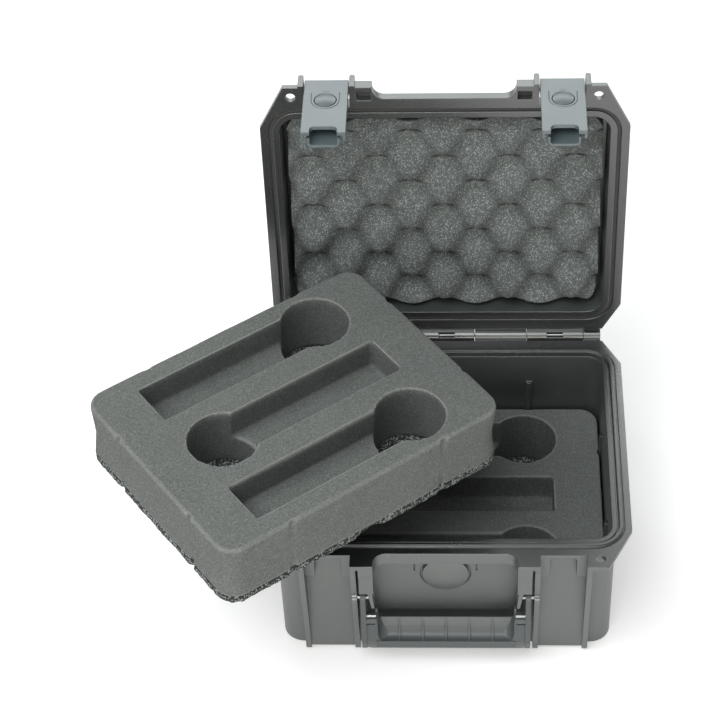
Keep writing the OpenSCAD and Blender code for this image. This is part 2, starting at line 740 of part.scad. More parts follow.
module latch_trigger(side) color(latch_colour) on_latch(side) difference() {
    union() {
        intersection() {
            cup_room();
            union() {
                cup_rise() cup_outline();
                intersection() {
                    cup_rise() cup_block(cup_w/2, 0, cup_round);
                    box([-cup_w, web_y, cup_top - roof_t], [cup_w, cup_back, cup_top]);
                }
            }
        }
        cup_hooks();
        box([-web_half, web_y, cup_top - roof_t], [web_half, web_y + web_t, button_z + button_r - 1]);
        rod(-half_barrel, half_barrel, trigger_y, trigger_z, trigger_barrel_r);
        translate([0, web_y + 0.5, button_z]) rotate([90, 0, 0]) intersection() {
            cylinder(h = button_h, r = button_r, $fn = ROUND);
            translate([0, 0, button_h - button_dome_r]) sphere(r = button_dome_r, $fn = 96);
        }
    }
    rod(-latch_w, latch_w, trigger_y, trigger_z, trigger_pin_r + RUN);
}
half_barrel = latch_w/2 - 2.6;
web_half = 8;
roof_t = 2;
button_h = web_y + 0.5 - latch_y + 1.4;
button_dome_r = 24;

module trigger_pin(side) color(steel_colour) on_latch(side)
    rod(-latch_w/2 + 1, latch_w/2 - 1, trigger_y, trigger_z, trigger_pin_r);

// Leaf spring that hangs from the latch's cross bar behind the button
module trigger_spring(side) color(steel_colour) on_latch(side) {
    leaf_y = plate_back + bar_deep;
    box([-leaf_half, leaf_y, button_z - 1], [leaf_half, leaf_y + leaf_t, bar_z + bar_t]);
}

// --- handle ------------------------------------------------------------------

// Side profile of the grip: a scooped top between a back edge and a front lip; up lifts the scoop for its ribs
function scoop(up) = [for (k = [0 : 8]) let (t = k/8)
    [grip_back + (grip_front - grip_back)*t, grip_top - 11.5*t - (4.2 - up)*sin(180*t)]];
module grip_outline(up = 0) polygon(concat(scoop(up), [[grip_front - 0.2, grip_low + 8],
    [grip_front + 2.4, grip_low + 4], [grip_front + 8, grip_low], [grip_back - 1, grip_low - 1.6],
    [grip_back, grip_low]]));

// Side profile of the cheeks beside the grip, which end in a thin horn
module cheek_outline() polygon([[grip_back - 1, stop_z + 1.6], [grip_back - 4, stop_z + 1.6],
    [handle_y - 2.6, stop_z - 5], [handle_y - 4, stop_z - 10], [handle_y - 5.2, grip_top - 13],
    [grip_front + 2, grip_low + 8], [handle_y - 1.4, grip_low + 1.2], [grip_back - 1, grip_low + 2]]);

// One cheek, hollowed along the scoop so that it runs into the grip in a curve
module cheek() difference() {
    across(grip_x - cheek_r + 0.5, grip_x + cheek_t) cheek_outline();
    translate([grip_x - cheek_r, grip_back, grip_top]) rotate([scoop_tilt, 0, 0]) {
        translate([0, 30, cheek_r - 3.2]) rotate([90, 0, 0]) cylinder(h = 80, r = cheek_r, $fn = ROUND);
        box([-CUT, -50, cheek_r - 3.2], [cheek_r, 30, 60]);
    }
}
scoop_tilt = atan2(11.5, grip_back - grip_front);

// Panel between a cheek and its rail, and the arm above it that holds the stop
module cheek_panel() across(grip_x + 0.5, rail_x - 1) polygon([[grip_back - 1, stop_z - arm_h - 2.2],
    [handle_y - 3.4, stop_z - arm_h - 2.2], [handle_y - 5.2, grip_top - 13], [grip_front + 2, grip_low + 8],
    [handle_y - 1.4, grip_low + 1.2], [grip_back - 1, grip_low + 2]]);
module cheek_arm() across(grip_x + 0.5, rail_x - 1) polygon([[handle_y + 4, stop_z - 0.3],
    [handle_y - 4, stop_z - 0.3], [handle_y - 5, stop_z - 1.4], [handle_y - 5, stop_z - arm_h + 1],
    [handle_y - 4, stop_z - arm_h], [handle_y + 4, stop_z - arm_h]]);
arm_h = 5.2;

// Side profile of a rail, from its eye down to the foot
module rail_outline() {
    translate([handle_y, handle_z]) circle(eye_r, $fn = ROUND);
    polygon([[handle_y + eye_r - 0.2, handle_z], [handle_y - eye_r + 0.2, handle_z],
        [handle_y - eye_r - 1, stop_z], [handle_y - 6.2, grip_low + 12], [handle_y - 4, grip_low + 4.4],
        [grip_back - 3, grip_low + 3]]);
}

// Front outline of what is cut away where the handle's lower edge curves up
module lower_curve() difference() {
    translate([rail_x - lift_run, grip_low - 6]) square([lift_run + CUT, 16]);
    translate([rail_x - lift_run, grip_low - 1.6 + lift_r]) circle(lift_r, $fn = 2*ROUND);
}
lift_run = 22.7;
lift_r = 45;

module handle() color(shell_colour) difference() {
    union() {
        across(-grip_x - 1, grip_x + 1) grip_outline();
        for (k = [-(grip_ribs - 1)/2 : (grip_ribs - 1)/2])
            across(k*grip_rib_pitch - 1, k*grip_rib_pitch + 1) grip_outline(1);
        both_sides() {
            cheek();
            cheek_panel();
            cheek_arm();
            across(rail_in, rail_x) rail_outline();
        }
    }
    both_sides() {
        forward(grip_front - 4, grip_back + 4) lower_curve();
        rod(rail_in - CUT, rail_x + CUT, handle_y, handle_z, handle_pin_r + RUN);
        stop_pin();
    }
}

module handle_pin(side) color(steel_colour) on_side(side)
    rod(bracket_in + 0.5, fin_x + fin_t/2 - 1.2, handle_y, handle_z, handle_pin_r);

// Short steel pin that stops the handle against the bracket
module stop_pin() rod(grip_x + 1, rail_in + 2, handle_y - 1, stop_z, handle_pin_r);
module handle_stop(side) color(steel_colour) on_side(side) stop_pin();

// --- trays -------------------------------------------------------------------

module tray_plate(z, inset) translate([0, 0, z]) linear_extrude(THIN)
    rounded(tray_hw - inset, tray_hd - inset, tray_r - inset, $fn = HULL_ROUND);

// Vertical notches in a tray's edges, which the case's guide ribs pass through
module tray_notches(h) at_guides(true, true) translate([0, 0, -CUT]) cylinder(h = h, r = notch_r, $fn = ROUND);

// Microphone slots: a shallow slot for the body and a hole right through for the head
module slots() for (k = [0 : 2]) {
    y = (1 - k)*slot_pitch;
    translate([0, y, 0]) on_side(heads[k]) {
        box([-slot_x, -slot_w/2, tray_t - slot_deep], [slot_x - 6, slot_w/2, tray_t + CUT]);
        translate([head_x, 0, backing_t - CUT]) cylinder(h = foam_t + 2*CUT, r = head_r, $fn = ROUND);
    }
}

module tray_foam() difference() {
    union() {
        hull() {
            tray_plate(backing_t, 0);
            tray_plate(backing_t + foam_t*0.42, tray_waist);
        }
        hull() {
            tray_plate(backing_t + foam_t*0.42, tray_waist);
            tray_plate(tray_t - 3, 0);
        }
        hull() {
            tray_plate(tray_t - 3, 0);
            tray_plate(tray_t - 1, 0.5);
            tray_plate(tray_t - THIN, 1.6);
        }
    }
    slots();
    tray_notches(tray_t + 2*CUT);
}

// Coarse backing sheet with finger arches in its long edges
module tray_backing() difference() {
    linear_extrude(backing_t, $fn = ROUND) rounded(tray_hw, tray_hd, tray_r);
    tray_notches(backing_t + 2*CUT);
    translate([0, 0, arch_h - arch_r]) rotate([90, 0, 0]) difference() {
        cylinder(h = 2*tray_hd + 2*CUT, r = arch_r, center = true, $fn = ROUND);
        cylinder(h = 2*tray_hd - 24, r = arch_r + CUT, center = true, $fn = ROUND);
    }
}

module lifted() translate(lifted_at) rotate(lifted_turn) translate([0, 0, -tray_t]) children();
module seated() translate([0, 0, floor_t]) children();

base_shell();
valve_cap();
valve_seal();
valve_membrane();
hinge_pin();
lid_shell();
lid_gasket();
lid_foam();
latch_body(LEFT);  // latch_body_left
latch_body(RIGHT);  // latch_body_right
latch_pin(LEFT);  // latch_pin_left
latch_pin(RIGHT);  // latch_pin_right
latch_trigger(LEFT);  // latch_trigger_left
latch_trigger(RIGHT);  // latch_trigger_right
trigger_pin(LEFT);  // trigger_pin_left
trigger_pin(RIGHT);  // trigger_pin_right
trigger_spring(LEFT);  // trigger_spring_left
trigger_spring(RIGHT);  // trigger_spring_right
handle();
handle_pin(LEFT);  // handle_pin_left
handle_pin(RIGHT);  // handle_pin_right
handle_stop(LEFT);  // handle_stop_left
handle_stop(RIGHT);  // handle_stop_right
color(foam_colour) lifted() tray_foam();  // upper_tray_foam
color(backing_colour) lifted() tray_backing();  // upper_tray_backing
color(foam_colour) seated() tray_foam();  // lower_tray_foam
color(backing_colour) seated() tray_backing();  // lower_tray_backing
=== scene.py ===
# %% [markdown]
# # A hard case for microphones
# The case stands open: a moulded dark grey shell, a lid lined with egg-crate foam, and
# two slotted foam trays. Its rigid parts come from a CAD frame that is already the right
# shape, so they only need finishes. Foam is what CAD draws badly: it has soft edges and
# a torn, open skin. Each foam part is therefore built again here.

# %% Load the fixed frame
import math

import bpy
import numpy as np
from mathutils import Euler, Matrix, Vector, noise


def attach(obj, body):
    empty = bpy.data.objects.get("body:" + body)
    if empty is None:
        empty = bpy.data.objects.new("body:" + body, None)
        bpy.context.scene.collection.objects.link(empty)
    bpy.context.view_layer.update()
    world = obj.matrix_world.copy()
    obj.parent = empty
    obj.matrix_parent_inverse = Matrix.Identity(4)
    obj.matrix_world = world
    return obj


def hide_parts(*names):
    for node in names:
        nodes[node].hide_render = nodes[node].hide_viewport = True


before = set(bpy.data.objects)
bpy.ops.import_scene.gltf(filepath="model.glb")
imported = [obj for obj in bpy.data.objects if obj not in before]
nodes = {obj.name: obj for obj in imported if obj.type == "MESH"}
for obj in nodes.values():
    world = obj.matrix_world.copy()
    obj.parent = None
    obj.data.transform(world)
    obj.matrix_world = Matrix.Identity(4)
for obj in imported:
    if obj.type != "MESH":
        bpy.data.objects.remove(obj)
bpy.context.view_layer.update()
MM = 0.001
print("nodes in the frame:", len(nodes))

# %% [markdown]
# ## The camera
# A lens can be guessed from how fast parallel edges run together. Here they close in
# slowly, so the lens is long, about 116 mm on a 36 mm sensor, and the camera stands
# about 1.8 m off, looking down at 44 degrees. The photograph is also turned by almost
# three degrees, which is a roll about the line of sight, so three plain turns are used.

# %% Camera
CAMERA_AT = Vector((0.0171, -1.1994, 1.3808))
YAW, PITCH, ROLL = math.radians(3.746), math.radians(45.609), math.radians(-2.748)
LENS = 116.09

camera = bpy.data.objects.new("camera", bpy.data.cameras.new("camera"))
bpy.context.scene.collection.objects.link(camera)
camera.data.lens = LENS
camera.data.sensor_width = 36
turn = Matrix.Rotation(YAW, 4, "Z") @ Matrix.Rotation(PITCH, 4, "X") @ Matrix.Rotation(ROLL, 4, "Z")
camera.matrix_world = Matrix.Translation(CAMERA_AT) @ turn
bpy.context.scene.camera = camera
print("camera is", round(CAMERA_AT.length, 2), "m from the case's foot")

# %% [markdown]
# ## Helpers for materials
# Node trees get long when every socket is linked by hand. One helper adds a node, fills
# its inputs and links whatever is a socket, so each material reads like a short recipe.

# %% Node helpers
def add(tree, kind, inputs=None, **settings):
    """Adds a node, sets its properties, and fills or links its inputs."""
    node = tree.nodes.new("ShaderNode" + kind)
    for key, value in settings.items():
        setattr(node, key, value)
    for key, value in (inputs or {}).items():
        if isinstance(value, bpy.types.NodeSocket):
            tree.links.new(value, node.inputs[key])
        else:
            node.inputs[key].default_value = value
    return node


def math_node(tree, operation, a, b):
    """A Math node's output."""
    return add(tree, "Math", {0: a, 1: b}, operation=operation).outputs[0]


def new_group(name, ins, outs):
    """An empty shader group with (name, type, default) inputs and (name, type) outputs."""
    group = bpy.data.node_groups.new(name, "ShaderNodeTree")
    for label, kind, default in ins:
        socket = group.interface.new_socket(label, in_out="INPUT", socket_type="NodeSocket" + kind)
        if default is not None:
            socket.default_value = default
    for label, kind in outs:
        group.interface.new_socket(label, in_out="OUTPUT", socket_type="NodeSocket" + kind)
    return group, group.nodes.new("NodeGroupInput").outputs, group.nodes.new("NodeGroupOutput").inputs


def use_group(tree, group, inputs):
    """Places a group in a tree and returns its outputs."""
    return add(tree, "Group", inputs, node_tree=group).outputs


def new_material(name):
    """A material with a Principled shader; returns it, its tree, the shader and object coordinates."""
    material = bpy.data.materials.new(name)
    material.use_nodes = True
    tree = material.node_tree
    shader = next(n for n in tree.nodes if n.type == "BSDF_PRINCIPLED")
    return material, tree, shader, add(tree, "TexCoord").outputs["Object"]


print("helpers ready")

# %% [markdown]
# ## Moulded grain
# Cases like this leave the mould with a fine spark-eroded grain, a dull skin made of
# pits about a third of a millimetre wide, and a faint mottle where the resin flowed.
# Modelling the pits would take millions of faces, so a group makes them as a height for
# a Bump node, plus a mottle and a dust mask that nudge the colour. Dust is rare: one
# Voronoi cell in seventy or so has a speck at its middle.

# %% Moulded grain group
SPECK_FROM = 0.985
SPECK_SIZE = 0.16
grain, grain_in, grain_out = new_group(
    "moulded grain",
    [("Vector", "Vector", None), ("Grain", "Float", 2600.0), ("Mottle", "Float", 26.0)],
    [("Height", "Float"), ("Mottle", "Float"), ("Dust", "Float")])
fine = add(grain, "TexNoise", {"Vector": grain_in["Vector"], "Scale": grain_in["Grain"], "Detail": 3.0})
broad = add(grain, "TexNoise", {"Vector": grain_in["Vector"], "Scale": grain_in["Mottle"], "Detail": 4.0,
                                "Roughness": 0.6})
specks = add(grain, "TexVoronoi", {"Vector": grain_in["Vector"], "Scale": 420.0}, feature="F1")
lot = add(grain, "SeparateColor", {0: specks.outputs["Color"]}).outputs[0]
rare = math_node(grain, "GREATER_THAN", lot, SPECK_FROM)
near = math_node(grain, "LESS_THAN", specks.outputs["Distance"], SPECK_SIZE)
grain.links.new(fine.outputs[0], grain_out["Height"])
grain.links.new(broad.outputs[0], grain_out["Mottle"])
grain.links.new(math_node(grain, "MULTIPLY", rare, near), grain_out["Dust"])
print("group:", grain.name)

# %% [markdown]
# ## Plastic
# One recipe serves the shell, the latches and the handle: a mottled grey, a little dust,
# a satin surface and the grain as bump. A Bevel node rounds the CAD's sharp edges in the
# shading, which is far cheaper than bevelling every edge of a mesh that must not change.
# The case is one dark grey all over, with a broad gloss. Faces that see the white floor
# or backdrop look mid grey, and the lid's face and the inside, which see only dark foam,
# stay almost black. So the base colour is low and the reflection does most of the work.
# The sealing faces are also smoother than the textured outside, so the recipe polishes what points one way:
# up on the base, and forward on the open lid. It also darkens those faces to 0.3 of their colour, which is
# painted shade.

# %% Plastic recipe
SHELL_GREY = (0.034, 0.041, 0.039)
HANDLE_GREY = (0.055, 0.064, 0.066)
LATCH_GREY = (0.072, 0.095, 0.103)
DUST_GREY = (0.6, 0.6, 0.58, 1)
DUST_SHARE = 0.35
GLOSS_LEVEL = 0.62
EDGE_RADIUS = 0.7 * MM
# Painted shade: the faces that point the given way keep this share of their colour.
POLISHED_SHADE_TINT = 0.3
POLISHED_SMOOTHER = 0.13


def plastic(name, colour, rough=0.38, ior=1.9, polish_and_shade_facing=None):
    """Moulded plastic with grain, mottle, dust and rounded edges; faces that point the given way are smoother
    and darkened with painted shade.
    """
    material, tree, shader, here = new_material(name)
    skin = use_group(tree, grain, {"Vector": here})
    shade = add(tree, "MapRange", {"Value": skin["Mottle"], "To Min": 0.90, "To Max": 1.08}).outputs[0]
    tint = add(tree, "VectorMath", {0: colour, "Scale": shade}, operation="SCALE").outputs[0]
    dust = math_node(tree, "MULTIPLY", skin["Dust"], DUST_SHARE)
    dust_and_painted_shade = add(tree, "MixRGB", {"Fac": dust, "Color1": tint, "Color2": DUST_GREY}).outputs[0]
    gloss = add(tree, "MapRange", {"Value": skin["Mottle"], "To Min": rough - 0.05,
                                   "To Max": rough + 0.07}).outputs[0]
    if polish_and_shade_facing:
        facing = add(tree, "VectorMath", {0: add(tree, "TexCoord").outputs["Normal"], 1: polish_and_shade_facing},
                     operation="DOT_PRODUCT").outputs["Value"]
        polish_and_shade_mask = add(tree, "MapRange", {"Value": facing, "From Min": 0.3, "From Max": 0.8}).outputs[0]
        # Painted shade: faces that point the given way are darkened to this share of their colour.
        painted_shade = add(tree, "VectorMath", {0: dust_and_painted_shade, "Scale": POLISHED_SHADE_TINT}, operation="SCALE").outputs[0]
        dust_and_painted_shade = add(tree, "MixRGB", {"Fac": polish_and_shade_mask, "Color1": dust_and_painted_shade, "Color2": painted_shade}).outputs[0]
        gloss = math_node(tree, "SUBTRACT", gloss, math_node(tree, "MULTIPLY", polish_and_shade_mask, POLISHED_SMOOTHER))
    tree.links.new(dust_and_painted_shade, shader.inputs["Base Color"])
    tree.links.new(gloss, shader.inputs["Roughness"])
    shader.inputs["IOR"].default_value = ior
    shader.inputs["Specular IOR Level"].default_value = GLOSS_LEVEL
    round_edge = add(tree, "Bevel", {"Radius": EDGE_RADIUS}, samples=6).outputs[0]
    bump = add(tree, "Bump", {"Strength": 0.16, "Distance": 0.12 * MM, "Height": skin["Height"],
                              "Normal": round_edge})
    tree.links.new(bump.outputs[0], shader.inputs["Normal"])
    return material


base_plastic = plastic("base plastic", SHELL_GREY, polish_and_shade_facing=(0.0, 0.0, 1.0))
lid_plastic = plastic("lid plastic", SHELL_GREY, polish_and_shade_facing=(0.0, -1.0, 0.0))
handle_plastic = plastic("handle plastic", HANDLE_GREY, rough=0.42, ior=1.5)
latch_plastic = plastic("latch plastic", LATCH_GREY, rough=0.34, ior=1.65)
print("plastics ready")

# %% [markdown]
# ## Steel, rubber and film
# The pins are drawn wire, with fine scratches along their length. Seals are matt black
# rubber with a waxy bloom. The valve's film is a thin off-white sheet that nobody sees
# from outside, but it still gets its own finish.

# %% Steel, rubber and film
def steel(name):
    """Drawn wire, scratched along its length."""
    material, tree, shader, here = new_material(name)
    along = add(tree, "Mapping", {"Vector": here, "Scale": (60.0, 2600.0, 2600.0)}).outputs[0]
    scratches = add(tree, "TexNoise", {"Vector": along, "Scale": 1.0, "Detail": 4.0}).outputs[0]
    tone = add(tree, "ValToRGB", {"Fac": scratches})
    tone.color_ramp.elements[0].color = (0.20, 0.21, 0.21, 1)
    tone.color_ramp.elements[1].color = (0.40, 0.41, 0.41, 1)
    tree.links.new(tone.outputs[0], shader.inputs["Base Color"])
    rough = add(tree, "MapRange", {"Value": scratches, "To Min": 0.28, "To Max": 0.44})
    tree.links.new(rough.outputs[0], shader.inputs["Roughness"])
    shader.inputs["Metallic"].default_value = 1.0
    return material


def soft_matt(name, colour, rough):
    """A matt rubber or film with a faint bloom."""
    material, tree, shader, here = new_material(name)
    skin = use_group(tree, grain, {"Vector": here, "Grain": 1500.0, "Mottle": 60.0})
    shade = add(tree, "MapRange", {"Value": skin["Mottle"], "To Min": 0.8, "To Max": 1.3}).outputs[0]
    tint = add(tree, "VectorMath", {0: colour, "Scale": shade}, operation="SCALE").outputs[0]
    tree.links.new(tint, shader.inputs["Base Color"])
    shader.inputs["Roughness"].default_value = rough
    bump = add(tree, "Bump", {"Strength": 0.2, "Distance": 0.1 * MM, "Height": skin["Height"]})
    tree.links.new(bump.outputs[0], shader.inputs["Normal"])
    return material


wire = steel("drawn steel")
rubber = soft_matt("seal rubber", (0.022, 0.022, 0.022), 0.6)
film = soft_matt("valve film", (0.72, 0.72, 0.70), 0.5)
print("steel, rubber and film ready")

# %% [markdown]
# ## Dressing the frame
# The real case is made of few materials: one plastic for the shells, paler ones for the
# latches and the handle, steel for the pins, rubber for the seals. Finishing each part on
# its own would hide that, so a table gives every rigid node one of these finishes. The
# mesh is left alone; only the material in its slot changes.

# %% Dress the frame
FINISHES = {
    "base_shell": base_plastic, "lid_shell": lid_plastic, "valve_cap": base_plastic, "handle": handle_plastic,
    "lid_gasket": rubber, "valve_seal": rubber, "valve_membrane": film, "hinge_pin": wire,
}
for side in ("left", "right"):
    FINISHES[f"latch_body_{side}"] = latch_plastic
    FINISHES[f"latch_trigger_{side}"] = latch_plastic
    for part in ("latch_pin", "trigger_pin", "trigger_spring", "handle_pin", "handle_stop"):
        FINISHES[f"{part}_{side}"] = wire
for name, finish in FINISHES.items():
    nodes[name].data.materials.clear()
    nodes[name].data.materials.append(finish)
print("finished nodes:", len(FINISHES))

# %% [markdown]
# ## Foam
# Open-cell foam is a sponge of cells a millimetre or less across. Cut through, it shows
# dark pits, soft grey walls and here and there a cell wall that catches the light. A
# group makes those three things; the trays, their backing and the lid use it at
# different scales.

# %% Foam cell group
cells, cell_in, cell_out = new_group(
    "foam cells",
    [("Vector", "Vector", None), ("Cells", "Float", 1100.0), ("Glints", "Float", 0.03)],
    [("Height", "Float"), ("Tone", "Float"), ("Glint", "Float")])
pits = add(cells, "TexVoronoi", {"Vector": cell_in["Vector"], "Scale": cell_in["Cells"], "Randomness": 1.0})
coarse = math_node(cells, "MULTIPLY", cell_in["Cells"], 0.35)
blur = add(cells, "TexNoise", {"Vector": cell_in["Vector"], "Scale": coarse, "Detail": 3.0})
cloud = add(cells, "TexNoise", {"Vector": cell_in["Vector"], "Scale": 34.0, "Detail": 3.0})
pick = add(cells, "SeparateColor", {0: pits.outputs["Color"]})
chosen = math_node(cells, "LESS_THAN", pick.outputs[1], cell_in["Glints"])
tone_fine = add(cells, "MapRange", {"Value": pick.outputs[0], "To Min": -0.16, "To Max": 0.16}).outputs[0]
tone_blur = add(cells, "MapRange", {"Value": blur.outputs[0], "From Min": 0.3, "From Max": 0.7,
                                    "To Min": -0.16, "To Max": 0.16}).outputs[0]
tone_cloud = add(cells, "MapRange", {"Value": cloud.outputs[0], "From Min": 0.3, "From Max": 0.7,
                                     "To Min": -0.05, "To Max": 0.05}).outputs[0]
tone_all = math_node(cells, "ADD", math_node(cells, "ADD", tone_fine, tone_blur), tone_cloud)
cells.links.new(math_node(cells, "ADD", tone_all, 1.0), cell_out["Tone"])
cells.links.new(math_node(cells, "ADD", pits.outputs["Distance"], blur.outputs[0]), cell_out["Height"])
cells.links.new(chosen, cell_out["Glint"])
print("group:", cells.name)

# %% [markdown]
# Sharp foam edges get a painted highlight: the shader mixes them towards a pale grey. It finds them by
# Pointiness, which measures how sharply the mesh bends, so no mask is drawn.
# The egg-crate's painted fold shade and painted valley light are known from its formula instead, so they come
# as numbers stored on its points, and the shader reads those by name.

# %% Foam recipe
# A painted highlight for the foam's sharp edges.
EDGE_HIGHLIGHT_GREY = (0.40, 0.40, 0.38, 1)
# Painted shade for the folds under the egg-crate's peaks.
FOLD_PAINTED_SHADE = (0.010, 0.011, 0.011, 1)


def foam(name, colour, cell, glints, glint_colour, bump=0.5, depth=0.6 * MM, glow=0.0, folds=False):
    """Open-cell foam; glow paints a highlight on its sharp edges, and the last flag reads the egg-crate's
    attributes for painted valley light and painted fold shade.
    """
    material, tree, shader, here = new_material(name)
    skin = use_group(tree, cells, {"Vector": here, "Cells": cell, "Glints": glints})
    tint = add(tree, "VectorMath", {0: colour, "Scale": skin["Tone"]}, operation="SCALE").outputs[0]
    lit = add(tree, "MixRGB", {"Fac": skin["Glint"], "Color1": tint, "Color2": (*glint_colour, 1)}).outputs[0]
    if glow:
        # Painted highlight: the sharper the edge, the more it is mixed towards a pale grey.
        sharp = add(tree, "NewGeometry").outputs["Pointiness"]
        painted_edge_highlight = add(tree, "MapRange", {"Value": sharp, "From Min": 0.515, "From Max": 0.58,
                                        "To Min": 0.0, "To Max": glow}).outputs[0]
        lit = add(tree, "MixRGB", {"Fac": painted_edge_highlight, "Color1": lit, "Color2": EDGE_HIGHLIGHT_GREY}).outputs[0]
    if folds:
        # Painted light: points deep in a valley are lightened.
        lift = math_node(tree, "ADD", add(tree, "Attribute", attribute_name="valley").outputs["Fac"], 1.0)
        lit = add(tree, "VectorMath", {0: lit, "Scale": lift}, operation="SCALE").outputs[0]
        # Painted shade: the fold under each peak is mixed towards near-black.
        fold = add(tree, "MapRange", {"Value": add(tree, "Attribute", attribute_name="fold").outputs["Fac"],
                                      "From Min": 0.2, "From Max": 0.65, "To Max": 0.93}).outputs[0]
        lit = add(tree, "MixRGB", {"Fac": fold, "Color1": lit, "Color2": FOLD_PAINTED_SHADE}).outputs[0]
    tree.links.new(lit, shader.inputs["Base Color"])
    rough = add(tree, "MapRange", {"Value": skin["Glint"], "To Min": 0.95, "To Max": 0.55})
    tree.links.new(rough.outputs[0], shader.inputs["Roughness"])
    shader.inputs["Specular IOR Level"].default_value = 0.25
    relief = add(tree, "Bump", {"Strength": bump, "Distance": depth, "Height": skin["Height"]})
    tree.links.new(relief.outputs[0], shader.inputs["Normal"])
    return material


tray_finish = foam("tray foam", (0.118, 0.127, 0.121), cell=1700.0, glints=0.10,
                   glint_colour=(0.17, 0.18, 0.175), glow=0.6)
lid_finish = foam("egg-crate foam", (0.078, 0.086, 0.084), cell=1500.0, glints=0.16,
                  glint_colour=(0.185, 0.205, 0.205), folds=True)
backing_finish = foam("tray backing", (0.035, 0.038, 0.037), cell=1000.0, glints=0.30,
                      glint_colour=(0.24, 0.26, 0.26), bump=0.9, depth=1.0 * MM)
print("foams ready")

# %% [markdown]
# ## Cutting foam from the CAD block
# The CAD block has the right slots, but its edges are razor sharp and its faces dead
# flat. A voxel remesh turns it into an even skin, a few rounds of smoothing let the
# edges go soft as a hot wire leaves them, and noise pushes the skin in and out a little.
# The lifted tray is turned, and a remesh works best along its own axes, so the block is
# turned back first and put in its place again at the end.

# %% Foam from a block
LIFTED_AT = Vector((-107.2, -48.6, 209.6)) * MM
LIFTED_TURN = Euler((math.radians(1.3), math.radians(1.3), math.radians(38)))
LIFTED = Matrix.Translation(LIFTED_AT) @ LIFTED_TURN.to_matrix().to_4x4()
SEATED = Matrix.Identity(4)


def noise_field(points, size, seed):
    """Smooth noise in -1..1 at each point, with bumps about size metres wide."""
    shift = Vector((seed * 7.3, seed * 3.1, seed * 5.7))
    return np.array([noise.noise(Vector(p) / size + shift) for p in points])


def push(obj, waves, seed):
    """Moves each point along its normal by a sum of (size, height) noises."""
    mesh = obj.data
    count = len(mesh.vertices)
    points = np.empty(count * 3)
    mesh.vertices.foreach_get("co", points)
    points = points.reshape(-1, 3)
    normals = np.array([v.normal for v in mesh.vertices])
    height = sum(h * noise_field(points, size, seed + k) for k, (size, h) in enumerate(waves))
    mesh.vertices.foreach_set("co", (points + normals * height[:, None]).ravel())
    mesh.update()


def bake_modifiers(obj):
    """Replaces an object's mesh by what its modifiers make of it."""
    view = bpy.context.evaluated_depsgraph_get()
    mesh = bpy.data.meshes.new_from_object(obj.evaluated_get(view))
    obj.modifiers.clear()
    obj.data = mesh


def soften(piece):
    """Smooth shading on every face."""
    piece.data.polygons.foreach_set("use_smooth", [True] * len(piece.data.polygons))


def cut_foam(node, name, place, voxel, rounds, waves, seed):
    """A soft copy of a CAD block, remeshed along its own axes."""
    mesh = nodes[node].data.copy()
    mesh.transform(place.inverted())
    piece = bpy.data.objects.new(name, mesh)
    bpy.context.scene.collection.objects.link(piece)
    skin = piece.modifiers.new("skin", "REMESH")
    skin.mode = "VOXEL"
    skin.voxel_size = voxel
    ease = piece.modifiers.new("ease", "SMOOTH")
    ease.factor = 0.5
    ease.iterations = rounds
    bake_modifiers(piece)
    push(piece, waves, seed)
    piece.data.transform(place)
    soften(piece)
    return piece


def dress(piece, body, node, finish):
    """Gives a foam piece its finish and body, and hides the CAD node that it stands for."""
    piece.data.materials.clear()
    piece.data.materials.append(finish)
    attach(piece, body)
    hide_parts(node)
    print(piece.name, len(piece.data.polygons), "faces")


# %% [markdown]
# ## The two trays
# Each tray is a block of fine foam on a sheet of coarse, black, torn foam. They could be
# one mesh with two materials, but they are two parts with two different skins: the block
# is smoothed more and pushed gently, and the sheet stays ragged, with lumps 2 to 12 mm
# wide.

# %% Trays
TRAY_VOXEL, TRAY_ROUNDS, TRAY_SEED = 1.4 * MM, 2, 5
BACKING_VOXEL, BACKING_ROUNDS, BACKING_SEED = 1.3 * MM, 1, 11
TRAY_WAVES = [(26 * MM, 0.30 * MM), (7 * MM, 0.06 * MM), (2.4 * MM, 0.04 * MM)]
BACKING_WAVES = [(12 * MM, 0.25 * MM), (3.4 * MM, 0.55 * MM), (1.7 * MM, 0.35 * MM)]
for level, place in (("upper", LIFTED), ("lower", SEATED)):
    tray = f"{level}_tray"
    block = cut_foam(f"{tray}_foam", f"{tray}_cut_foam", place,
                     TRAY_VOXEL, TRAY_ROUNDS, TRAY_WAVES, TRAY_SEED)
    dress(block, tray, f"{tray}_foam", tray_finish)
    sheet = cut_foam(f"{tray}_backing", f"{tray}_cut_backing", place,
                     BACKING_VOXEL, BACKING_ROUNDS, BACKING_WAVES, BACKING_SEED)
    dress(sheet, tray, f"{tray}_backing", backing_finish)

# %% [markdown]
# ## Egg-crate foam
# Egg-crate foam is a slab squeezed between ridged rollers while a blade splits it, which
# leaves rounded peaks in staggered rows. A product of two cosines has just that pattern.
# A fine grid follows it, the grid's corners are bent round to fit the lid, and the last rows drop to the back
# of the lid to close the sides. With the lid open the peaks sag a little, and each folds over a short crease
# at its lower side. So the peaks are shifted down, a narrow dent is pressed in under each, and the dent is
# stored as an attribute, with which the finish paints shade into the fold: a near-black that stands in for
# the shadow under each peak. A second attribute, larger the deeper a point lies in a valley, lightens the
# colour there. This is painted light, standing in for light scattered in the foam that keeps real valleys
# from going black.

# %% Egg-crate foam
FOAM_HALF = (116.25 * MM, 89.25 * MM)
FOAM_BACK = 138.2 * MM
WAVE = (49 * MM, 46.6 * MM)
WAVE_AT = (-1.5 * MM, 74 * MM)
WAVE_HALF = 8.5 * MM
WAVE_MIDDLE = 125.5 * MM
CORNER = 12 * MM
STEP = 1.15 * MM
SIDE_ROWS = 12
EDGE_FADE = 6 * MM
